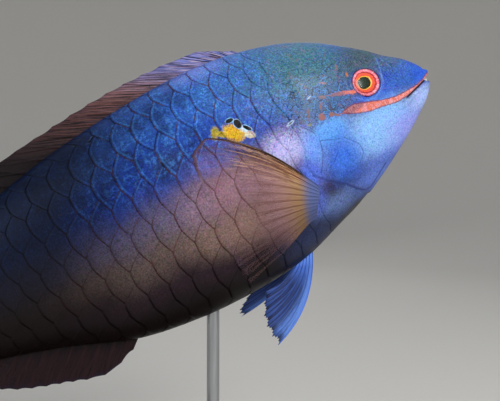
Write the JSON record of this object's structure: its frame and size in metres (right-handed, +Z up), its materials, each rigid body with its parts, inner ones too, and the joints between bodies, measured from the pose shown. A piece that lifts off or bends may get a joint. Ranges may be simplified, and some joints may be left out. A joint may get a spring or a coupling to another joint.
{
  "type": "parrotfish model",
  "caption": "Life-size model of a redband parrotfish swimming nose-up, held by a plain flat base and thin rods, as a museum display piece.",
  "frame": {"origin": "on the floor, under the middle of the whole model's box", "axes": "+X towards the fish's head, +Z up, the fish's right side faces -Y"},
  "size_m": [0.2268, 0.088, 0.1678],
  "materials": {
    "head_skin": "satin",
    "cheek_skin": "satin",
    "flank_skin": "satin",
    "belly_skin": "satin",
    "dorsal_membrane": "satin",
    "anal_membrane": "satin",
    "tail_membrane": "satin",
    "side_membrane": "satin",
    "pelvic_membrane": "satin",
    "beak": "gloss",
    "eye": "gloss",
    "stand_board": "satin",
    "stand_metal": "satin"
  },
  "bodies": {
    "root": {"head": "head_skin", "lower_jaw": "cheek_skin", "beak_upper": "beak", "beak_lower": "beak", "eye_right": "eye", "eye_left": "eye", "gill_cover_right": "cheek_skin", "gill_cover_left": "cheek_skin", "torso_front": "flank_skin", "torso_rear": "flank_skin", "tail_peduncle": "belly_skin", "dorsal_fin": "dorsal_membrane", "anal_fin": "anal_membrane", "caudal_fin": "tail_membrane", "pectoral_fin_right": "side_membrane", "pectoral_fin_left": "side_membrane", "pelvic_fin_right": "pelvic_membrane", "pelvic_fin_left": "pelvic_membrane", "stand_base": "stand_board", "stand_rod_front": "stand_metal", "stand_rod_rear": "stand_metal"}
  },
  "joints": []
}
